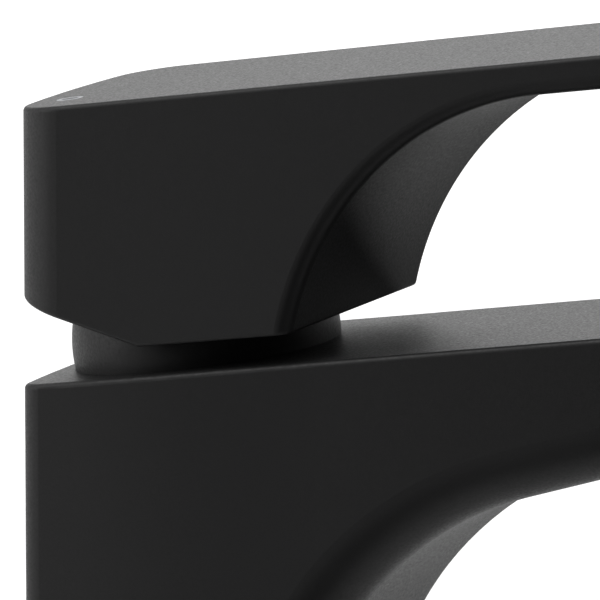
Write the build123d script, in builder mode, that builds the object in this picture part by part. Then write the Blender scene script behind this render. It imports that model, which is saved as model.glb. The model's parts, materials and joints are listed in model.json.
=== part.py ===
from build123d import *
from math import atan2, cos, degrees, radians, sin, sqrt, tan
import os

# Single-lever basin mixer: a cast body with an arched spout, a block-shaped lever handle that
# lifts and swivels on a ball-shaped dome, a ceramic cartridge, an aerator and a deck fixing set.
# Millimetres. +X runs along the spout, +Z is up, and the deck is the plane Z = 0.
# The cartridge axis crosses the dome's centre, the pivot, and stands square to the sloping crown.
# Heights called levels are measured along that axis from the pivot, upwards.

# Overall lines
slope = 8.7  # rise of the crown, the spout's top and the lever, in degrees
pivot_height = 100.0
lift_range = 22.0  # how far the lever lifts, in degrees

# Body casting
body_rear = 20.25  # corners of the rear face, behind the pivot
rear_bow = 1.2  # how far the middle of the rear face stands out
rear_half_width = 22.3
bulge_half_width = 23.4  # widest place of the block, beside the cartridge
bulge_place = 3.0
spout_half_width = 23.0
blend_place = 28.0  # where the bulge has run out into the spout
spout_reach = 122.0
crown_drop = 2.0  # crown below the pivot
tip_depth = 13.5  # height of the spout at its tip
underside_rise = 17.3  # slope of the spout's underside, in degrees
column_front = 21.0
arch_radius = 54.0
arch_edge_radius = 8.0
body_corner_radius = 4.0
spout_tip_radius = 3.0
crown_edge_radius = 0.8

# Hollow foot of the body, with the hose inlets and the stud hole in its ceiling
foot_wall = 4.5
foot_depth = 38.0
foot_corner_radius = 8.0
inlet_thread_radius = 4.46
inlet_thread_depth = 12.0
inlet_passage_radius = 2.8
inlet_spread = 7.5  # half the distance between the two inlets
stud_place = -8.0

# Water channel cast in the body, from under the cartridge to the aerator
channel_height = 4.0
channel_under_floor = 3.5
channel_knee_x = 22.0
channel_knee_drop = 33.0
channel_shoulder_x = 42.0
channel_shoulder_drop = 13.0
channel_narrow_width = 6.0
channel_spout_width = 14.0

# Handle
handle_rear = 21.1  # corners of the rear face, behind the pivot
handle_bow = 2.0
handle_rear_half_width = 22.8
handle_flare = 1.7  # widening of each side towards the tip, in degrees
handle_height = 38.8  # top face above the pivot
handle_gap = 2.4  # flat underside above the pivot
block_front = 24.8  # front edge of the flat underside, along the crown
lever_reach = 104.0
lever_thickness = 5.0
lever_arch_radius = 47.5
handle_corner_radius = 9.0
lever_tip_radius = 6.0
lever_edge_radius = 2.2  # lower edges of the arch and the lever
handle_edge_radius = 0.7
handle_wall = 4.0
pocket_floor = 10.0  # along the stem, from the pivot
pocket_length = 31.0
pocket_top_wall = 6.0
pocket_corner_radius = 5.0
boss_radius = 8.0
rib_width = 11.0

# Dome over the cartridge
dome_radius = 20.1
dome_wall = 2.0
dome_opening_radius = 10.0
dome_gap = 0.3  # between the dome and the handle's hollow

# Cartridge
chamber_depth = 30.5
cartridge_radius = 17.4
base_height = 7.5
peg_radius = 1.2
peg_length = 2.5
peg_place = 15.4
seal_thickness = 1.2
seal_radius = 13.5
disc_thickness = 4.0
fixed_disc_radius = 15.3
moving_disc_radius = 10.6
carrier_height = 6.3
carrier_radius = 9.5
collar_radius = 12.0
collar_top = 5.0
shoulder_depth = 12.0
neck_radius = 14.0
neck_lip = 1.8
lip_opening_radius = 9.5
inlet_port_radius = 2.2
inlet_port_x = 4.2
inlet_port_y = 5.0
outlet_port_radius = 3.2
outlet_port_x = -4.5
mixing_recess_depth = 2.0
mixing_recess_length = 8.4
mixing_recess_width = 15.0
mixing_recess_corner = 3.0
mixing_recess_offset = -1.5
rail_width = 2.4
rail_height = 2.0
rail_length = 9.0
rail_place = 7.0

# Lever stem and its pin
stem_side = 8.0
stem_top = 31.0
stem_eye_radius = 4.4
stem_arm_radius = 2.2
stem_ball_radius = 3.0
stem_arm_length = 10.5
pin_radius = 2.0
pin_length = 22.0

# Cartridge nut and the rubber ring that holds the dome on it
nut_thread_radius = 18.4
nut_thread_length = 9.0
nut_collar_radius = 16.0
nut_collar_height = 6.0
nut_slot_width = 5.0
nut_slot_depth = 1.5
ring_groove_depth = 0.7
ring_height = 2.0
ring_level = -0.8

# Set screw, its cover plug and the index dot
screw_radius = 2.5
screw_length = 12.0
screw_height = 26.0  # along the stem, from the pivot
screw_socket_radius = 1.4
screw_socket_depth = 3.0
plug_radius = 3.6
plug_depth = 3.0
plug_sink = 0.3
index_radius = 2.0
index_depth = 0.8
index_from_rear = 4.8
index_offset = 12.7

# Aerator
aerator_from_tip = 18.0
aerator_radius = 12.0
aerator_height = 6.5
aerator_sink = 0.4
aerator_wall = 1.8
aerator_lip_width = 1.2
aerator_lip_height = 1.2
insert_height = 4.5
insert_hole_radius = 0.8
insert_hole_spacing = 2.6
insert_hole_rings = 3
gasket_thickness = 1.5
gasket_width = 2.6

# Deck fixing
deck_gasket_thickness = 2.0
deck_gasket_margin = 1.5
stud_radius = 4.0
stud_length = 96.0
stud_engagement = 12.0
clamp_depth = 28.0  # upper face of the clamp washer below the deck
clamp_washer_thickness = 3.0
clamp_plate_thickness = 2.5
clamp_radius = 25.0
clamp_slot_width = 28.0
clamp_slot_start = 2.5
stud_nut_radius = 7.5
stud_nut_height = 10.0

# Clearances
running_gap = 0.05  # pins and round pieces that turn in a bore
sliding_gap = 0.1  # flat pieces that slide in a slot
seat_gap = 0.05  # screwed or pushed-in pieces that stay
stack_gap = 0.3  # end play of the turning pieces

# Directions that follow from the slope
rise = tan(radians(slope))
pivot = Vector(0, 0, pivot_height)
crown_normal = Vector(-sin(radians(slope)), 0, cos(radians(slope)))
crown_along = Vector(cos(radians(slope)), 0, sin(radians(slope)))
half_lift = lift_range / 2
stem_lean = slope - half_lift
stem_along = Vector(cos(radians(stem_lean)), 0, sin(radians(stem_lean)))
stem_up = Vector(-sin(radians(stem_lean)), 0, cos(radians(stem_lean)))

# Planes across the cartridge axis and along it, and across the stem
crown_plane = Plane(origin=pivot, x_dir=crown_along, z_dir=crown_normal)
crown_side = Plane(origin=pivot, x_dir=crown_along, z_dir=(0, -1, 0))
stem_plane = Plane(origin=pivot, x_dir=stem_along, z_dir=stem_up)
cartridge_axis = Axis(pivot, crown_normal)

# Levels along the cartridge axis
floor_level = -chamber_depth
base_top = floor_level + base_height
fixed_disc_top = base_top + disc_thickness
moving_disc_top = fixed_disc_top + disc_thickness
carrier_top = moving_disc_top + carrier_height
collar_bottom = carrier_top + stack_gap
rail_top = carrier_top + rail_height
shoulder_level = -shoulder_depth
nut_top = shoulder_level + nut_thread_length
neck_top = collar_top + stack_gap + neck_lip
disc_travel = stem_arm_length * sin(radians(half_lift))  # each way from the middle

os.makedirs("parts", exist_ok=True)


def height_of(level, x):
    """Height at x of the sloping plane at this level."""
    return pivot_height + level / cos(radians(slope)) + rise * x


def on_crown(along, level):
    """Point of the middle plane, given along the crown and by its level."""
    return pivot + crown_along * along + crown_normal * level


def save(piece, name):
    """Label a finished piece and write it as a STEP file of that name."""
    piece.label = name
    export_step(piece, f"parts/{name}.step")


# Side outline of column, arch and spout
tip_top = height_of(-crown_drop, spout_reach)
tip_bottom = tip_top - tip_depth
under = tan(radians(underside_rise))
under_along = Vector(cos(radians(underside_rise)), 0, sin(radians(underside_rise)))
under_up = Vector(-sin(radians(underside_rise)), 0, cos(radians(underside_rise)))
arch_centre_x = column_front + arch_radius
arch_start_x = arch_centre_x + arch_radius * under_up.X
arch_start_z = tip_bottom - under * (spout_reach - arch_start_x)
arch_centre_z = arch_start_z - arch_radius * under_up.Z
rear_most = -body_rear - rear_bow

# Aerator seat, square to the spout's underside
aerator_place = spout_reach - aerator_from_tip
aerator_mouth = Vector(aerator_place, 0, tip_bottom - under * aerator_from_tip)
aerator_plane = Plane(origin=aerator_mouth, x_dir=under_along, z_dir=under_up)
aerator_top = aerator_sink + aerator_height
aerator_seat = aerator_top + gasket_thickness
gasket_bore = aerator_radius - gasket_width

# Water channel and foot
channel_start = on_crown(outlet_port_x, floor_level - channel_under_floor)
channel_knee = Vector(channel_knee_x, 0, pivot_height - channel_knee_drop)
channel_shoulder = Vector(channel_shoulder_x, 0, pivot_height - channel_shoulder_drop)
channel_end = aerator_mouth + under_up * (aerator_seat + channel_height / 2)
inlet_floor = on_crown(inlet_port_x, floor_level)
foot_centre = (column_front - body_rear) / 2
foot_length = column_front + body_rear - 2 * foot_wall
foot_width = 2 * (rear_half_width - foot_wall)
foot_plane = Plane.XY.offset(foot_depth)

with BuildPart() as body:
    with BuildSketch(Plane.XZ):
        with BuildLine():
            Polyline(
                (column_front, arch_centre_z),
                (column_front, 0),
                (rear_most, 0),
                (rear_most, height_of(-crown_drop, rear_most)),
                (spout_reach, tip_top),
                (spout_reach, tip_bottom),
                (arch_start_x, arch_start_z),
            )
            CenterArc((arch_centre_x, arch_centre_z), arch_radius, 90 + underside_rise, 90 - underside_rise)
        make_face()
    extrude(amount=2 * bulge_half_width, both=True)
    # Plan outline: bowed rear, bulge beside the cartridge, straight spout
    with BuildSketch(Plane.XY):
        with BuildLine():
            ThreePointArc((-body_rear, -rear_half_width), (rear_most, 0), (-body_rear, rear_half_width))
            bulge = Spline(
                (-body_rear, rear_half_width),
                (bulge_place, bulge_half_width),
                (blend_place, spout_half_width),
                tangents=[(body_rear + bulge_place, 2 * (bulge_half_width - rear_half_width)), (1, 0)],
            )
            mirror(bulge, about=Plane.XZ)
            Polyline(
                (blend_place, spout_half_width),
                (spout_reach, spout_half_width),
                (spout_reach, -spout_half_width),
                (blend_place, -spout_half_width),
            )
        make_face()
    extrude(amount=tip_top, mode=Mode.INTERSECT)
    # Rounded rear corners, soft lower edges under the spout, and a rounded tip and crown edge
    fillet(body.edges().filter_by(Axis.Z).group_by(Axis.X)[0], body_corner_radius)
    lower_edges = body.edges().filter_by(
        lambda edge: abs(edge.center().Y) > spout_half_width / 2
        and column_front - seat_gap < edge.center().X < spout_reach - seat_gap
        and edge.center().Z < height_of(-crown_drop, edge.center().X) - crown_edge_radius
        and edge.center().Z > seat_gap
    )
    fillet(lower_edges, arch_edge_radius)
    fillet(body.faces().sort_by(Axis.X)[-1].edges(), spout_tip_radius)
    crown_faces = body.faces().filter_by(lambda face: face.normal_at().dot(crown_normal) > 0.9999)
    fillet(crown_faces.edges(), crown_edge_radius)
    # Cartridge chamber with its wider threaded mouth and the peg holes in its floor
    with BuildSketch(crown_plane.offset(floor_level)):
        Circle(cartridge_radius + sliding_gap)
    extrude(amount=chamber_depth, mode=Mode.SUBTRACT)
    with BuildSketch(crown_plane.offset(shoulder_level)):
        Circle(nut_thread_radius + seat_gap)
    extrude(amount=shoulder_depth, mode=Mode.SUBTRACT)
    with BuildSketch(crown_plane.offset(floor_level)):
        with Locations((0, -peg_place), (0, peg_place)):
            Circle(peg_radius + seat_gap)
    extrude(amount=-peg_length - stack_gap, mode=Mode.SUBTRACT)
    # Outlet port and the channel to the aerator
    with BuildSketch(crown_plane.offset(floor_level)):
        with Locations((outlet_port_x, 0)):
            Circle(outlet_port_radius)
    extrude(amount=-channel_under_floor, mode=Mode.SUBTRACT)
    with BuildSketch(Plane.XZ):
        with BuildLine():
            Polyline(
                (channel_start.X, channel_start.Z),
                (channel_knee.X, channel_knee.Z),
                (channel_shoulder.X, channel_shoulder.Z),
            )
        trace(line_width=channel_height)
    extrude(amount=channel_narrow_width / 2, both=True, mode=Mode.SUBTRACT)
    with BuildSketch(Plane.XZ):
        with BuildLine():
            Line((channel_shoulder.X, channel_shoulder.Z), (channel_end.X, channel_end.Z))
        trace(line_width=channel_height)
    extrude(amount=channel_spout_width / 2, both=True, mode=Mode.SUBTRACT)
    # Aerator seat with the space above it
    with BuildSketch(aerator_plane):
        Circle(aerator_radius + seat_gap)
    extrude(amount=aerator_seat, mode=Mode.SUBTRACT)
    with BuildSketch(aerator_plane):
        Circle(gasket_bore)
    extrude(amount=aerator_seat + channel_height, mode=Mode.SUBTRACT)
    # Hollow foot, inlets, stud hole and the groove for the deck gasket
    with BuildSketch(Plane.XY):
        with Locations((foot_centre, 0)):
            RectangleRounded(foot_length, foot_width, foot_corner_radius)
    extrude(amount=foot_depth, mode=Mode.SUBTRACT)
    with BuildSketch(foot_plane):
        with Locations((inlet_floor.X, -inlet_spread), (inlet_floor.X, inlet_spread)):
            Circle(inlet_thread_radius)
    extrude(amount=inlet_thread_depth, mode=Mode.SUBTRACT)
    with BuildSketch(foot_plane):
        with Locations((inlet_floor.X, -inlet_spread), (inlet_floor.X, inlet_spread)):
            Circle(inlet_passage_radius)
    extrude(amount=inlet_floor.Z - foot_depth + inlet_passage_radius, mode=Mode.SUBTRACT)
    with BuildSketch(foot_plane):
        with Locations((stud_place, 0)):
            Circle(stud_radius + seat_gap)
    extrude(amount=stud_engagement, mode=Mode.SUBTRACT)
    with BuildSketch(Plane.XY):
        with Locations((foot_centre, 0)):
            RectangleRounded(
                foot_length + 2 * (foot_wall - deck_gasket_margin),
                foot_width + 2 * (foot_wall - deck_gasket_margin),
                foot_corner_radius,
            )
    extrude(amount=deck_gasket_thickness, mode=Mode.SUBTRACT)
save(body.part, "body")

# Handle: side outline of block, arch and lever, cut to a plan that widens towards the tip
handle_rear_most = -handle_rear - handle_bow
lever_under = handle_height - lever_thickness
heel = on_crown(0, handle_gap)
toe = on_crown(block_front, handle_gap)
heel_rise = tan(radians(slope - lift_range))
lever_arch_level = lever_under - lever_arch_radius
lever_arch_along = block_front + sqrt(lever_arch_radius**2 - (handle_gap - lever_arch_level) ** 2)
lever_arch_centre = on_crown(lever_arch_along, lever_arch_level)
lever_arch_top = on_crown(lever_arch_along, lever_under)
lever_arch_turn = degrees(atan2(lever_arch_along - block_front, handle_gap - lever_arch_level))
lever_tip_half_width = handle_rear_half_width + tan(radians(handle_flare)) * (lever_reach + handle_rear)
screw_plane = Plane(origin=pivot + stem_up * screw_height, x_dir=(0, 1, 0), z_dir=-stem_along)
rear_distance = (stem_up.X * screw_height - handle_rear_most) / stem_along.X
index_along = (index_from_rear - handle_rear - handle_height * crown_normal.X) / crown_along.X

with BuildPart() as handle:
    with BuildSketch(Plane.XZ):
        with BuildLine():
            Polyline(
                (lever_arch_top.X, lever_arch_top.Z),
                (lever_reach, height_of(lever_under, lever_reach)),
                (lever_reach, height_of(handle_height, lever_reach)),
                (handle_rear_most, height_of(handle_height, handle_rear_most)),
                (handle_rear_most, heel.Z + heel_rise * (handle_rear_most - heel.X)),
                (heel.X, heel.Z),
                (toe.X, toe.Z),
            )
            CenterArc(
                (lever_arch_centre.X, lever_arch_centre.Z), lever_arch_radius, 90 + slope, lever_arch_turn
            )
        make_face()
    extrude(amount=2 * lever_tip_half_width, both=True)
    with BuildSketch(Plane.XY.offset(pivot_height)):
        with BuildLine():
            ThreePointArc(
                (-handle_rear, -handle_rear_half_width),
                (handle_rear_most, 0),
                (-handle_rear, handle_rear_half_width),
            )
            Polyline(
                (-handle_rear, handle_rear_half_width),
                (lever_reach, lever_tip_half_width),
                (lever_reach, -lever_tip_half_width),
                (-handle_rear, -handle_rear_half_width),
            )
        make_face()
    extrude(amount=2 * lever_reach, mode=Mode.INTERSECT)
    fillet(handle.edges().filter_by(Axis.Z).group_by(Axis.X)[0], handle_corner_radius)
    fillet(handle.edges().filter_by(Axis.Z).group_by(Axis.X)[-1], lever_tip_radius)
    arch_face = handle.faces().filter_by(GeomType.CYLINDER).sort_by(SortBy.AREA)[-1]
    fillet(arch_face.edges() - arch_face.edges().filter_by(Axis.Y), lever_edge_radius)
    fillet(handle.edges() - handle.edges().filter_by(Axis.Z), handle_edge_radius)
    # Hollow for the dome, pocket around the stem boss, and the square stem socket
    with Locations(pivot):
        Sphere(dome_radius + dome_gap, mode=Mode.SUBTRACT)
    with BuildSketch(stem_plane.offset(pocket_floor)):
        RectangleRounded(pocket_length, 2 * (handle_rear_half_width - handle_wall), pocket_corner_radius)
        Circle(boss_radius, mode=Mode.SUBTRACT)
        with Locations((-pocket_length / 2, 0)):
            Rectangle(pocket_length, rib_width, mode=Mode.SUBTRACT)
    extrude(amount=handle_height - pocket_top_wall - pocket_floor, mode=Mode.SUBTRACT)
    with BuildSketch(stem_plane):
        Rectangle(stem_side + 2 * sliding_gap, stem_side + 2 * sliding_gap)
    extrude(amount=stem_top + stack_gap, mode=Mode.SUBTRACT)
    # Set screw hole from the rear, its plug seat, and the seat of the index dot
    with BuildSketch(screw_plane):
        Circle(screw_radius + seat_gap)
    extrude(amount=rear_distance, mode=Mode.SUBTRACT)
    with BuildSketch(screw_plane.offset(rear_distance)):
        Circle(plug_radius + seat_gap)
    extrude(amount=-plug_depth - plug_sink, mode=Mode.SUBTRACT)
    with BuildSketch(crown_plane.offset(handle_height)):
        with Locations((index_along, -index_offset)):
            Circle(index_radius + seat_gap)
    extrude(amount=-index_depth, mode=Mode.SUBTRACT)
save(handle.part, "handle")

# Index dot, set flush in the handle's top
with BuildPart() as index_dot:
    with BuildSketch(crown_plane.offset(handle_height - index_depth)):
        with Locations((index_along, -index_offset)):
            Circle(index_radius)
    extrude(amount=index_depth)
save(index_dot.part, "index_dot")

# Set screw that holds the handle on the stem, with a six-sided socket
with BuildPart() as set_screw:
    with BuildSketch(screw_plane.offset(stem_side / 2)):
        Circle(screw_radius)
    extrude(amount=screw_length)
    with BuildSketch(screw_plane.offset(stem_side / 2 + screw_length)):
        RegularPolygon(screw_socket_radius, 6)
    extrude(amount=-screw_socket_depth, mode=Mode.SUBTRACT)
save(set_screw.part, "set_screw")

# Plug over the set screw, in the handle's rear face
with BuildPart() as screw_plug:
    with BuildSketch(screw_plane.offset(rear_distance - plug_depth - plug_sink)):
        Circle(plug_radius)
    extrude(amount=plug_depth)
save(screw_plug.part, "screw_plug")

# Dome: a ball-shaped shell that stands on the crown, open at the top for the stem
with BuildPart() as dome:
    with Locations(pivot):
        Sphere(dome_radius)
        Sphere(dome_radius - dome_wall, mode=Mode.SUBTRACT)
    with BuildSketch(crown_plane.offset(-crown_drop)):
        Circle(2 * dome_radius)
    extrude(amount=-2 * dome_radius, mode=Mode.SUBTRACT)
    with BuildSketch(crown_plane):
        Circle(dome_opening_radius)
    extrude(amount=2 * dome_radius, mode=Mode.SUBTRACT)
save(dome.part, "dome")

# Cartridge nut: a threaded ring with a slotted collar that carries the dome's rubber ring
ring_bore = nut_collar_radius - ring_groove_depth
with BuildPart() as cartridge_nut:
    with BuildSketch(crown_plane.offset(shoulder_level)):
        Circle(nut_thread_radius)
    extrude(amount=nut_thread_length)
    with BuildSketch(crown_plane.offset(nut_top)):
        Circle(nut_collar_radius)
    extrude(amount=nut_collar_height)
    with BuildSketch(crown_plane.offset(shoulder_level)):
        Circle(neck_radius + sliding_gap)
    extrude(amount=nut_thread_length + nut_collar_height, mode=Mode.SUBTRACT)
    with BuildSketch(crown_plane.offset(ring_level)):
        Circle(nut_collar_radius)
        Circle(ring_bore, mode=Mode.SUBTRACT)
    extrude(amount=ring_height, mode=Mode.SUBTRACT)
    with BuildSketch(crown_plane.offset(nut_top + nut_collar_height)):
        Rectangle(2 * nut_collar_radius, nut_slot_width)
        Rectangle(nut_slot_width, 2 * nut_collar_radius)
    extrude(amount=-nut_slot_depth, mode=Mode.SUBTRACT)
save(cartridge_nut.part, "cartridge_nut")

# Rubber ring between the nut's collar and the dome
ring_radius = sqrt((dome_radius - dome_wall) ** 2 - (abs(ring_level) + ring_height) ** 2) - seat_gap
with BuildPart() as dome_ring:
    with BuildSketch(crown_plane.offset(ring_level)):
        Circle(ring_radius)
        Circle(ring_bore + seat_gap, mode=Mode.SUBTRACT)
    extrude(amount=ring_height)
save(dome_ring.part, "dome_ring")

# Cartridge housing: a cup over the discs, with a neck whose lip keeps the turning collar in
chamber_top = moving_disc_top + stack_gap
with BuildPart() as cartridge_housing:
    with BuildSketch(crown_side):
        with BuildLine():
            Polyline(
                (fixed_disc_radius + running_gap, base_top),
                (cartridge_radius, base_top),
                (cartridge_radius, shoulder_level),
                (neck_radius, shoulder_level),
                (neck_radius, neck_top),
                (lip_opening_radius, neck_top),
                (lip_opening_radius, neck_top - neck_lip),
                (collar_radius + running_gap, neck_top - neck_lip),
                (collar_radius + running_gap, chamber_top),
                (fixed_disc_radius + running_gap, chamber_top),
                close=True,
            )
        make_face()
    revolve(axis=cartridge_axis)
save(cartridge_housing.part, "cartridge_housing")

# Cartridge base: two inlet ports that spread downwards, one outlet port, pegs and a seal recess
with BuildPart() as cartridge_base:
    with BuildSketch(crown_plane.offset(floor_level)):
        Circle(cartridge_radius)
    extrude(amount=base_height)
    with BuildSketch(crown_plane.offset(floor_level)):
        with Locations((0, -peg_place), (0, peg_place)):
            Circle(peg_radius)
    extrude(amount=-peg_length)
    with BuildSketch(crown_plane.offset(floor_level)):
        Circle(seal_radius + seat_gap)
    extrude(amount=seal_thickness, mode=Mode.SUBTRACT)
    with BuildSketch(crown_plane.offset(floor_level)) as ports:
        with Locations((outlet_port_x, 0)):
            Circle(outlet_port_radius)
        for side in (-1, 1):
            with Locations((inlet_port_x, side * (inlet_port_y + inlet_spread) / 2)):
                SlotCenterToCenter(inlet_spread - inlet_port_y, 2 * inlet_port_radius, rotation=90)
    extrude(amount=base_height, mode=Mode.SUBTRACT)
save(cartridge_base.part, "cartridge_base")

# Flat rubber seal under the base, with the same three ports
with BuildPart() as base_seal:
    with BuildSketch(crown_plane.offset(floor_level)):
        Circle(seal_radius)
        add(ports.sketch, mode=Mode.SUBTRACT)
    extrude(amount=seal_thickness)
save(base_seal.part, "base_seal")

# Fixed ceramic disc with the two inlets and the outlet
with BuildPart() as fixed_disc:
    with BuildSketch(crown_plane.offset(base_top)):
        Circle(fixed_disc_radius)
        with Locations((outlet_port_x, 0)):
            Circle(outlet_port_radius, mode=Mode.SUBTRACT)
        with Locations((inlet_port_x, -inlet_port_y), (inlet_port_x, inlet_port_y)):
            Circle(inlet_port_radius, mode=Mode.SUBTRACT)
    extrude(amount=disc_thickness)
save(fixed_disc.part, "fixed_disc")

# Moving ceramic disc and its carrier stand behind the middle while the lever is down
disc_plane = Plane(origin=on_crown(-disc_travel, 0), x_dir=crown_along, z_dir=crown_normal)
with BuildPart() as moving_disc:
    with BuildSketch(disc_plane.offset(fixed_disc_top)):
        Circle(moving_disc_radius)
    extrude(amount=disc_thickness)
    with BuildSketch(disc_plane.offset(fixed_disc_top)):
        with Locations((mixing_recess_offset, 0)):
            RectangleRounded(mixing_recess_length, mixing_recess_width, mixing_recess_corner)
    extrude(amount=mixing_recess_depth, mode=Mode.SUBTRACT)
save(moving_disc.part, "moving_disc")

# Disc carrier: a socket for the stem's ball and two rails that run in the collar
ball_reach = stem_arm_length + stem_ball_radius + stack_gap
with BuildPart() as disc_carrier:
    with BuildSketch(disc_plane.offset(moving_disc_top)):
        Circle(carrier_radius)
    extrude(amount=carrier_height)
    with BuildSketch(disc_plane.offset(carrier_top)):
        Circle(stem_ball_radius + sliding_gap)
    extrude(amount=-ball_reach - carrier_top, mode=Mode.SUBTRACT)
    with BuildSketch(disc_plane.offset(carrier_top)):
        with Locations((0, -rail_place), (0, rail_place)):
            Rectangle(rail_length, rail_width)
    extrude(amount=rail_height)
save(disc_carrier.part, "disc_carrier")

# Turning collar: guides the stem in a slot, carries its pin and drives the carrier's rails
slot_half = stem_side / 2 / cos(radians(half_lift)) + collar_top * tan(radians(half_lift)) + stack_gap
with BuildPart() as swivel_collar:
    with BuildSketch(crown_plane.offset(collar_bottom)):
        Circle(collar_radius)
        Rectangle(2 * slot_half, stem_side + 2 * sliding_gap, mode=Mode.SUBTRACT)
    extrude(amount=collar_top - collar_bottom)
    with BuildSketch(crown_plane.offset(collar_bottom)):
        with Locations((0, -rail_place), (0, rail_place)):
            Rectangle(2 * collar_radius, rail_width + 2 * sliding_gap)
    extrude(amount=rail_top + stack_gap - collar_bottom, mode=Mode.SUBTRACT)
    with BuildSketch(crown_side):
        Circle(pin_radius + seat_gap)
    extrude(amount=collar_radius, both=True, mode=Mode.SUBTRACT)
save(swivel_collar.part, "swivel_collar")

# Pin across the collar, on which the stem tilts
with BuildPart() as pivot_pin:
    with BuildSketch(crown_side):
        Circle(pin_radius)
    extrude(amount=pin_length / 2, both=True)
save(pivot_pin.part, "pivot_pin")

# Lever stem: square shank, eye for the pin, and an arm that ends in a ball
with BuildPart() as lever_stem:
    with BuildSketch(stem_plane):
        Rectangle(stem_side, stem_side)
    extrude(amount=stem_top)
    with BuildSketch(crown_side):
        Circle(stem_eye_radius)
    extrude(amount=stem_side / 2, both=True)
    with BuildSketch(stem_plane):
        Circle(stem_arm_radius)
    extrude(amount=-stem_arm_length)
    with Locations(pivot - stem_up * stem_arm_length):
        Sphere(stem_ball_radius)
    with BuildSketch(crown_side):
        Circle(pin_radius + running_gap)
    extrude(amount=stem_side, both=True, mode=Mode.SUBTRACT)
save(lever_stem.part, "lever_stem")

# Aerator housing: a threaded sleeve with a lip that holds the insert
aerator_bore = aerator_radius - aerator_wall
with BuildPart() as aerator_housing:
    with BuildSketch(aerator_plane.offset(aerator_sink)):
        Circle(aerator_radius)
        Circle(aerator_bore - aerator_lip_width, mode=Mode.SUBTRACT)
    extrude(amount=aerator_height)
    with BuildSketch(aerator_plane.offset(aerator_sink + aerator_lip_height)):
        Circle(aerator_bore)
    extrude(amount=aerator_height, mode=Mode.SUBTRACT)
save(aerator_housing.part, "aerator_housing")

# Aerator insert with rings of jet holes
with BuildPart() as aerator_insert:
    with BuildSketch(aerator_plane.offset(aerator_sink + aerator_lip_height)):
        Circle(aerator_bore - seat_gap)
        Circle(insert_hole_radius, mode=Mode.SUBTRACT)
        for ring in range(1, insert_hole_rings + 1):
            with PolarLocations(ring * insert_hole_spacing, 6 * ring):
                Circle(insert_hole_radius, mode=Mode.SUBTRACT)
    extrude(amount=insert_height)
save(aerator_insert.part, "aerator_insert")

# Flat gasket between the aerator and its seat
with BuildPart() as aerator_gasket:
    with BuildSketch(aerator_plane.offset(aerator_top)):
        Circle(aerator_radius)
        Circle(gasket_bore, mode=Mode.SUBTRACT)
    extrude(amount=gasket_thickness)
save(aerator_gasket.part, "aerator_gasket")

# Rubber gasket in the groove under the foot
with BuildPart() as deck_gasket:
    with BuildSketch(Plane.XY):
        with Locations((foot_centre, 0)):
            RectangleRounded(
                foot_length + 2 * (foot_wall - deck_gasket_margin) - 2 * seat_gap,
                foot_width + 2 * (foot_wall - deck_gasket_margin) - 2 * seat_gap,
                foot_corner_radius - seat_gap,
            )
            RectangleRounded(foot_length, foot_width, foot_corner_radius, mode=Mode.SUBTRACT)
    extrude(amount=deck_gasket_thickness)
save(deck_gasket.part, "deck_gasket")

# Threaded stud that pulls the body down on the deck
stud_level = foot_depth + stud_engagement
with BuildPart() as mounting_stud:
    with BuildSketch(Plane.XY.offset(stud_level)):
        with Locations((stud_place, 0)):
            Circle(stud_radius)
    extrude(amount=-stud_length)
save(mounting_stud.part, "mounting_stud")

# Horseshoe outline shared by the clamp washer and the clamp plate, open to the front for the hoses
with BuildSketch() as horseshoe:
    with Locations((foot_centre, 0)):
        Circle(clamp_radius)
    with Locations((clamp_slot_start + clamp_radius, 0)):
        Rectangle(2 * clamp_radius, clamp_slot_width, mode=Mode.SUBTRACT)
    with Locations((stud_place, 0)):
        Circle(stud_radius + sliding_gap, mode=Mode.SUBTRACT)

# Rubber clamp washer
with BuildPart() as clamp_washer:
    with BuildSketch(Plane.XY.offset(-clamp_depth)):
        add(horseshoe.sketch)
    extrude(amount=-clamp_washer_thickness)
save(clamp_washer.part, "clamp_washer")

# Steel clamp plate under the washer
plate_level = -clamp_depth - clamp_washer_thickness
with BuildPart() as clamp_plate:
    with BuildSketch(Plane.XY.offset(plate_level)):
        add(horseshoe.sketch)
    extrude(amount=-clamp_plate_thickness)
save(clamp_plate.part, "clamp_plate")

# Six-sided nut on the stud
with BuildPart() as stud_nut:
    with BuildSketch(Plane.XY.offset(plate_level - clamp_plate_thickness)):
        with Locations((stud_place, 0)):
            RegularPolygon(stud_nut_radius, 6)
            Circle(stud_radius + seat_gap, mode=Mode.SUBTRACT)
    extrude(amount=-stud_nut_height)
save(stud_nut.part, "stud_nut")
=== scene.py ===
import json
from math import ceil, cos, pi, radians, sin, tan

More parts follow.
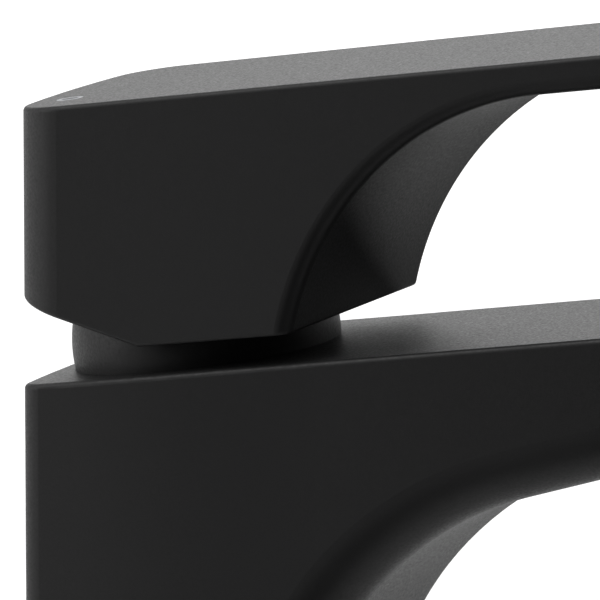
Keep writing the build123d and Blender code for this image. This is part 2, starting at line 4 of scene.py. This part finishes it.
import bmesh
import bpy
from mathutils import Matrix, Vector


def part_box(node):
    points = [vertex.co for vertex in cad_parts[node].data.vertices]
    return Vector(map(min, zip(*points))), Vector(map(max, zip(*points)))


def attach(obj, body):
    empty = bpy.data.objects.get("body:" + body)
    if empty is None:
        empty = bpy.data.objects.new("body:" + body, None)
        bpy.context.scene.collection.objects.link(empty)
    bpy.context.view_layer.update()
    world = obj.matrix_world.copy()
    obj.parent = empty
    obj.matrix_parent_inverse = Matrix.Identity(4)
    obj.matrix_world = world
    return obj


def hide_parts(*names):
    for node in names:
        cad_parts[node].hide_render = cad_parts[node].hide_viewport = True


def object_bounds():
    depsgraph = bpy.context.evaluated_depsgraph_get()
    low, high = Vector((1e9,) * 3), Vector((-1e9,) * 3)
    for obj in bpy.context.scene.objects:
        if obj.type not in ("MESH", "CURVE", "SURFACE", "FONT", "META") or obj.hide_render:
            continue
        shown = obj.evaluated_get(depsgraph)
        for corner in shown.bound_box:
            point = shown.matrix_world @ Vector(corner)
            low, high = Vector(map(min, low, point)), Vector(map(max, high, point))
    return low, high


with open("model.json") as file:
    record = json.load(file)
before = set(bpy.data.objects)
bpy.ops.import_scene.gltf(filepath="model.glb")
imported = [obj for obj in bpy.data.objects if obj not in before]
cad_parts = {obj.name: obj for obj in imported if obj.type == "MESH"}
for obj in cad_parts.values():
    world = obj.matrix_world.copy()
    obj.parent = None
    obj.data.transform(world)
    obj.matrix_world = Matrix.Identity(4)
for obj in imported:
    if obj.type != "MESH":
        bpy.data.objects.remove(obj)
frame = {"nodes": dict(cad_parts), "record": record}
cad_low, cad_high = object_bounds()
nodes = frame["nodes"]
scene = bpy.context.scene
scene.view_settings.view_transform = "Standard"

# Camera: a long lens from the front right, slightly above, close on the handle
pivot = Vector((0, 0, 0.1))
azimuth = radians(24.555)
elevation = radians(10.122)
camera_distance = 1.3
lens = 523.46
aim_right = 0.01389
aim_up = 0.005576

right = Vector((cos(azimuth), sin(azimuth), 0))
back = Vector((sin(azimuth) * cos(elevation), -cos(azimuth) * cos(elevation), sin(elevation)))
up = back.cross(right)
camera_data = bpy.data.cameras.new("camera")
camera_data.lens = lens
camera_data.sensor_width = 36
camera_data.clip_start = 0.1
camera_data.clip_end = 100
camera = bpy.data.objects.new("camera", camera_data)
scene.collection.objects.link(camera)
camera.location = pivot + back * camera_distance + right * aim_right + up * aim_up
camera.rotation_mode = "QUATERNION"
camera.rotation_quaternion = (-back).to_track_quat("-Z", "Y")
scene.camera = camera


class Material:
    """A node material with one Principled shader, in the object's own coordinates."""

    def __init__(self, name, **settings):
        self.material = bpy.data.materials.new(name)
        self.material.use_nodes = True
        self.tree = self.material.node_tree
        self.shader = self.tree.nodes["Principled BSDF"]
        self.place = self.tree.nodes.new("ShaderNodeTexCoord").outputs["Object"]
        for socket, value in settings.items():
            self.shader.inputs[socket.replace("_", " ")].default_value = value

    def link(self, source, target):
        self.tree.links.new(source, target)

    def noise(self, scale, detail=2.0, stretch=None):
        """Noise with this many features to the metre, stretched along the axes if asked."""
        texture = self.tree.nodes.new("ShaderNodeTexNoise")
        texture.inputs["Scale"].default_value = scale
        texture.inputs["Detail"].default_value = detail
        place = self.place
        if stretch:
            mapping = self.tree.nodes.new("ShaderNodeMapping")
            mapping.inputs["Scale"].default_value = stretch
            self.link(place, mapping.inputs["Vector"])
            place = mapping.outputs["Vector"]
        self.link(place, texture.inputs["Vector"])
        return texture.outputs["Fac"]

    def ramp(self, source, stops):
        """Colours or grey levels along a value, as pairs of place and colour."""
        ramp = self.tree.nodes.new("ShaderNodeValToRGB")
        elements = ramp.color_ramp.elements
        while len(elements) < len(stops):
            elements.new(1.0)
        for element, (place, colour) in zip(elements, stops):
            element.position = place
            element.color = (*colour, 1.0)
        self.link(source, ramp.inputs["Fac"])
        return ramp.outputs["Color"]

    def spread(self, source, low, high):
        """The middle of a noise, spread from low to high."""
        node = self.tree.nodes.new("ShaderNodeMapRange")
        node.inputs["From Min"].default_value = 0.3
        node.inputs["From Max"].default_value = 0.7
        node.inputs["To Min"].default_value = low
        node.inputs["To Max"].default_value = high
        self.link(source, node.inputs["Value"])
        return node.outputs["Result"]

    def bump(self, source, depth, strength):
        """Bump of this depth in metres on top of what is there already."""
        node = self.tree.nodes.new("ShaderNodeBump")
        node.inputs["Strength"].default_value = strength
        node.inputs["Distance"].default_value = depth
        self.link(source, node.inputs["Height"])
        normal = self.shader.inputs["Normal"]
        if normal.is_linked:
            self.link(normal.links[0].from_socket, node.inputs["Normal"])
        self.link(node.outputs["Normal"], normal)

    def vary(self, socket, source):
        self.link(source, self.shader.inputs[socket])


def grey(level):
    return (level, level, level)


# Matte black powder coat: a fine grain in its colour and sheen over a faint orange peel
coat = Material("matte_black", Specular_IOR_Level=0.2)
grain = coat.noise(5200, 3)
blacks = [(0.3, (0.0045, 0.0045, 0.0046)), (0.7, (0.0085, 0.0085, 0.0087))]
coat.vary("Base Color", coat.ramp(grain, blacks))
coat.vary("Roughness", coat.spread(coat.noise(2600, 3), 0.42, 0.62))
coat.bump(coat.noise(620, 2), 0.00002, 0.4)
coat.bump(grain, 0.00002, 0.5)

# Machined brass with fine turning lines across the axis
brass = Material("machined_brass", Metallic=1.0)
turning = brass.noise(400, 2, (0.15, 0.15, 9.0))
yellows = [(0.3, (0.52, 0.38, 0.16)), (0.7, (0.68, 0.52, 0.26))]
brass.vary("Base Color", brass.ramp(turning, yellows))
brass.vary("Roughness", brass.spread(brass.noise(150), 0.26, 0.4))
brass.bump(turning, 0.00002, 0.4)

# Zinc plated steel, slightly mottled
steel = Material("zinc_steel", Metallic=1.0)
mottle = steel.noise(260, 4)
zincs = [(0.3, (0.37, 0.38, 0.395)), (0.7, (0.51, 0.52, 0.53))]
steel.vary("Base Color", steel.ramp(mottle, zincs))
steel.vary("Roughness", steel.spread(mottle, 0.3, 0.46))
steel.bump(steel.noise(2500, 2), 0.00001, 0.4)

# Black rubber with a dusty bloom
rubber = Material("rubber", Specular_IOR_Level=0.3)
bloom = rubber.noise(70, 5)
dusty_blacks = [(0.35, (0.022, 0.022, 0.022)), (0.75, (0.042, 0.041, 0.04))]
rubber.vary("Base Color", rubber.ramp(bloom, dusty_blacks))
rubber.vary("Roughness", rubber.spread(bloom, 0.68, 0.85))
rubber.bump(rubber.noise(3000, 2), 0.00002, 0.5)

# Lapped alumina
ceramic = Material("ceramic")
cloud = ceramic.noise(120, 4)
ivories = [(0.3, (0.82, 0.8, 0.75)), (0.7, (0.88, 0.86, 0.82))]
ceramic.vary("Base Color", ceramic.ramp(cloud, ivories))
ceramic.vary("Roughness", ceramic.spread(cloud, 0.12, 0.2))

# Moulded plastics: pale in the cartridge, dark in the aerator
plastic = Material("cartridge_plastic")
flow = plastic.noise(60, 3)
pale_greys = [(0.3, (0.58, 0.58, 0.56)), (0.7, (0.64, 0.64, 0.62))]
plastic.vary("Base Color", plastic.ramp(flow, pale_greys))
plastic.vary("Roughness", plastic.spread(flow, 0.38, 0.5))
plastic.bump(plastic.noise(2000, 2), 0.00002, 0.4)

dark_plastic = Material("aerator_plastic")
speck = dark_plastic.noise(1500, 3)
dark_greys = [(0.3, (0.04, 0.04, 0.042)), (0.7, (0.06, 0.06, 0.062))]
dark_plastic.vary("Base Color", dark_plastic.ramp(speck, dark_greys))
dark_plastic.vary("Roughness", dark_plastic.spread(speck, 0.4, 0.52))
dark_plastic.bump(speck, 0.00002, 0.4)

# Index dot: a pale ring round a dark, slightly blue middle, by the distance from its centre
index = Material("index", Roughness=0.5, Specular_IOR_Level=0.2)
dot_low, dot_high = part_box("index_dot")
distance = index.tree.nodes.new("ShaderNodeVectorMath")
distance.operation = "DISTANCE"
distance.inputs[1].default_value = (dot_low + dot_high) / 2
index.link(index.place, distance.inputs[0])
share = index.tree.nodes.new("ShaderNodeMath")
share.operation = "DIVIDE"
share.inputs[1].default_value = (dot_high.y - dot_low.y) / 2
index.link(distance.outputs["Value"], share.inputs[0])
middle = (0.011, 0.014, 0.022)
rim = (0.3, 0.31, 0.33)
ring = [(0.0, middle), (0.66, middle), (0.74, rim), (1.0, rim)]
index.vary("Base Color", index.ramp(share.outputs["Value"], ring))
index.bump(index.noise(1500, 2), 0.00001, 0.3)

finishes = {
    "matte_black": coat,
    "brass": brass,
    "steel": steel,
    "rubber": rubber,
    "ceramic": ceramic,
    "cartridge_plastic": plastic,
    "aerator_plastic": dark_plastic,
    "index": index,
}
for subpart in frame["record"]["subparts"]:
    node = nodes[subpart["node"]]
    node.data.materials.clear()
    node.data.materials.append(finishes[subpart["material_slot"]].material)

# Fixing set: a threaded stud and a chamfered nut in place of the plain solids
thread_pitch = 0.00125
thread_depth = 0.00077
# Root, flank, crest and flank of one turn, as shares of the pitch and of the depth
thread_profile = [(0.0, 0.0), (0.3125, 1.0), (0.4375, 1.0), (0.75, 0.0)]
thread_steps = 36  # points round one turn
nut_steps = 72  # points round the nut
nut_face = 0.95  # round face of the nut, as a share of half its width across flats
nut_bore_gap = 0.00005
countersink = 0.0004
chamfer_slope = tan(radians(30))
crisp_angle = radians(35)


def add_piece(name, build, node, slot):
    """A finished mesh that stands for a CAD node on the fixed body, smooth between its crisp edges."""
    bmesh.ops.recalc_face_normals(build, faces=build.faces)
    mesh = bpy.data.meshes.new(name)
    build.to_mesh(mesh)
    build.free()
    mesh.shade_smooth()
    mesh.set_sharp_from_angle(angle=crisp_angle)
    mesh.materials.append(finishes[slot].material)
    piece = bpy.data.objects.new(name, mesh)
    scene.collection.objects.link(piece)
    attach(piece, "mixer_body")
    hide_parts(node)


def threaded_rod(low, high):
    """A helical thread that fills a box, with chamfered flat ends."""
    centre = (low + high) / 2
    crest = (high.x - low.x) / 2
    root = crest - thread_depth
    turns = ceil((high.z - low.z) / thread_pitch) + 2
    build = bmesh.new()
    rows = []
    for step in range(turns * thread_steps + 1):
        angle = 2 * pi * step / thread_steps
        row = []
        for share, depth in thread_profile:
            z = low.z + (step / thread_steps + share - 1.5) * thread_pitch
            from_end = max(0, min(z - low.z, high.z - z))
            radius = min(root + depth * thread_depth, root + from_end)
            x = centre.x + radius * cos(angle)
            y = centre.y + radius * sin(angle)
            row.append(build.verts.new((x, y, z)))
        rows.append(row)
    for row, next_row in zip(rows, rows[1:]):
        for k in range(len(thread_profile) - 1):
            build.faces.new((row[k], next_row[k], next_row[k + 1], row[k + 1]))
    for step in range(len(rows) - 1 - thread_steps):
        above = step + thread_steps
        build.faces.new((rows[step][-1], rows[step + 1][-1], rows[above + 1][0], rows[above][0]))
    for level, outward in ((low.z, -1), (high.z, 1)):
        everything = build.verts[:] + build.edges[:] + build.faces[:]
        bmesh.ops.bisect_plane(
            build, geom=everything, plane_co=(0, 0, level), plane_no=(0, 0, outward), clear_outer=True
        )
    bmesh.ops.edgeloop_fill(build, edges=[edge for edge in build.edges if edge.is_boundary])
    return build


def chamfered_nut(low, high, bore):
    """A six-sided nut that fills a box, with its corners along X and a countersunk bore."""
    centre = (low + high) / 2
    half_flat = (high.x - low.x) / 2 * cos(pi / 6)
    face = nut_face * half_flat
    build = bmesh.new()
    rows = []
    for step in range(nut_steps):
        angle = 2 * pi * step / nut_steps
        side = half_flat / cos(angle % (pi / 3) - pi / 6)
        drop = (side - face) * chamfer_slope
        ring_points = [
            (bore, low.z + countersink),
            (bore + countersink, low.z),
            (face, low.z),
            (side, low.z + drop),
            (side, high.z - drop),
            (face, high.z),
            (bore + countersink, high.z),
            (bore, high.z - countersink),
        ]
        rows.append([
            build.verts.new((centre.x + radius * cos(angle), centre.y + radius * sin(angle), z))
            for radius, z in ring_points
        ])
    for row, next_row in zip(rows, rows[1:] + rows[:1]):
        for k in range(len(row)):
            build.faces.new((row[k - 1], next_row[k - 1], next_row[k], row[k]))
    return build


stud_low, stud_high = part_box("mounting_stud")
nut_low, nut_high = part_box("stud_nut")
nut_bore = (stud_high.x - stud_low.x) / 2 + nut_bore_gap
add_piece("threaded_stud", threaded_rod(stud_low, stud_high), "mounting_stud", "steel")
add_piece("hex_nut", chamfered_nut(nut_low, nut_high, nut_bore), "stud_nut", "steel")

# Floor: pale, under the stud's lower end, lifted to white where it is seen, with the object's shadow on it
reach = 20.0
level = cad_low.z
shadow_reach = 0.5  # the shadow shows fully up to here
white_reach = 1.5  # and from here on the floor is plain white
near_glow = 0.44
far_glow = 0.72
floor_mesh = bpy.data.meshes.new("floor")
floor_mesh.from_pydata(
    [(-reach, -reach, level), (reach, -reach, level), (reach, reach, level), (-reach, reach, level)],
    [],
    [(0, 1, 2, 3)],
)
floor = bpy.data.objects.new("floor", floor_mesh)
scene.collection.objects.link(floor)


def seen_directly(tree):
    """1 for the rays of the camera, of reflections and of glass, and 0 for the light itself."""
    path = tree.nodes.new("ShaderNodeLightPath")
    kinds = ["Is Camera Ray", "Is Glossy Ray", "Is Transmission Ray"]
    value = path.outputs[kinds[0]]
    for kind in kinds[1:]:
        both = tree.nodes.new("ShaderNodeMath")
        both.operation = "MAXIMUM"
        tree.links.new(value, both.inputs[0])
        tree.links.new(path.outputs[kind], both.inputs[1])
        value = both.outputs["Value"]
    return value


floor_material = Material("floor", Base_Color=(0.85, 0.85, 0.85, 1), Roughness=0.9, Specular_IOR_Level=0.0)
floor_material.shader.inputs["Emission Color"].default_value = (1, 1, 1, 1)
from_object = floor_material.tree.nodes.new("ShaderNodeVectorMath")
from_object.operation = "LENGTH"
floor_material.link(floor_material.place, from_object.inputs[0])
glow = floor_material.tree.nodes.new("ShaderNodeMapRange")
glow.inputs["From Min"].default_value = shadow_reach
glow.inputs["From Max"].default_value = white_reach
glow.inputs["To Min"].default_value = near_glow
glow.inputs["To Max"].default_value = far_glow
floor_material.link(from_object.outputs["Value"], glow.inputs["Value"])
lift = floor_material.tree.nodes.new("ShaderNodeMath")
lift.operation = "MULTIPLY"
floor_material.link(seen_directly(floor_material.tree), lift.inputs[0])
floor_material.link(glow.outputs["Result"], lift.inputs[1])
floor_material.link(lift.outputs["Value"], floor_material.shader.inputs["Emission Strength"])
floor_mesh.materials.append(floor_material.material)

# World: white where it is seen, a plain soft light elsewhere
soft_light = 0.35
white = 1.0
world = bpy.data.worlds.new("studio")
scene.world = world
world.use_nodes = True
world_tree = world.node_tree
backdrop = world_tree.nodes["Background"]
backdrop.inputs["Color"].default_value = (1, 1, 1, 1)
strength = world_tree.nodes.new("ShaderNodeMapRange")
strength.inputs["To Min"].default_value = soft_light
strength.inputs["To Max"].default_value = white
world_tree.links.new(seen_directly(world_tree), strength.inputs["Value"])
world_tree.links.new(strength.outputs["Result"], backdrop.inputs["Strength"])


def softbox(name, place, size, power):
    """A square area light that points at the pivot, with its size in metres and its power in watts."""
    data = bpy.data.lights.new(name, "AREA")
    data.size = size
    data.energy = power
    light = bpy.data.objects.new(name, data)
    light.location = place
    light.rotation_mode = "QUATERNION"
    light.rotation_quaternion = (pivot - Vector(place)).to_track_quat("-Z", "Y")
    light.visible_camera = False
    scene.collection.objects.link(light)


softbox("overhead", (-0.45, -0.45, 1.15), size=0.6, power=10)
softbox("left", (-1.3, -0.7, 0.45), size=0.7, power=7)
softbox("rear", (-0.6, 2.05, 0.75), size=1.4, power=7)

# Dark cards round the set, seen by reflections alone, that keep the near side and the arch dark
card_level = level + 0.005
card_height = 1.2
front_width = 1.8
front_left = (-1.0, -1.6, card_level)
front_right = (-1.0 + front_width, -1.6, card_level)
card_material = Material("dark_card", Roughness=0.9, Specular_IOR_Level=0.0)
felt = card_material.noise(300, 3)
card_material.vary("Base Color", card_material.ramp(felt, [(0.3, grey(0.008)), (0.7, grey(0.014))]))


def dark_card(name, corner, along, across):
    """A flat card from one corner, with its two sides given as vectors."""
    corner, along, across = Vector(corner), Vector(along), Vector(across)
    mesh = bpy.data.meshes.new(name)
    points = [corner, corner + along, corner + along + across, corner + across]
    mesh.from_pydata(points, [], [(0, 1, 2, 3)])
    mesh.materials.append(card_material.material)
    card = bpy.data.objects.new(name, mesh)
    card.visible_camera = False
    card.visible_diffuse = False
    card.visible_shadow = False
    scene.collection.objects.link(card)


dark_card("card_front", front_left, (front_width, 0, 0), (0, 0, card_height))
dark_card("card_right", front_right, (0, 2.1, 0), (0, 0, card_height))
dark_card("card_front_floor", front_left, (front_width, 0, 0), (0, 1.15, 0))
dark_card("card_near_floor", (-0.05, -0.45, card_level), (0.85, 0, 0), (0, 0.37, 0))
dark_card("card_rear_floor", (-0.1, 0.32, card_level), (0.6, 0, 0), (0, 0.68, 0))
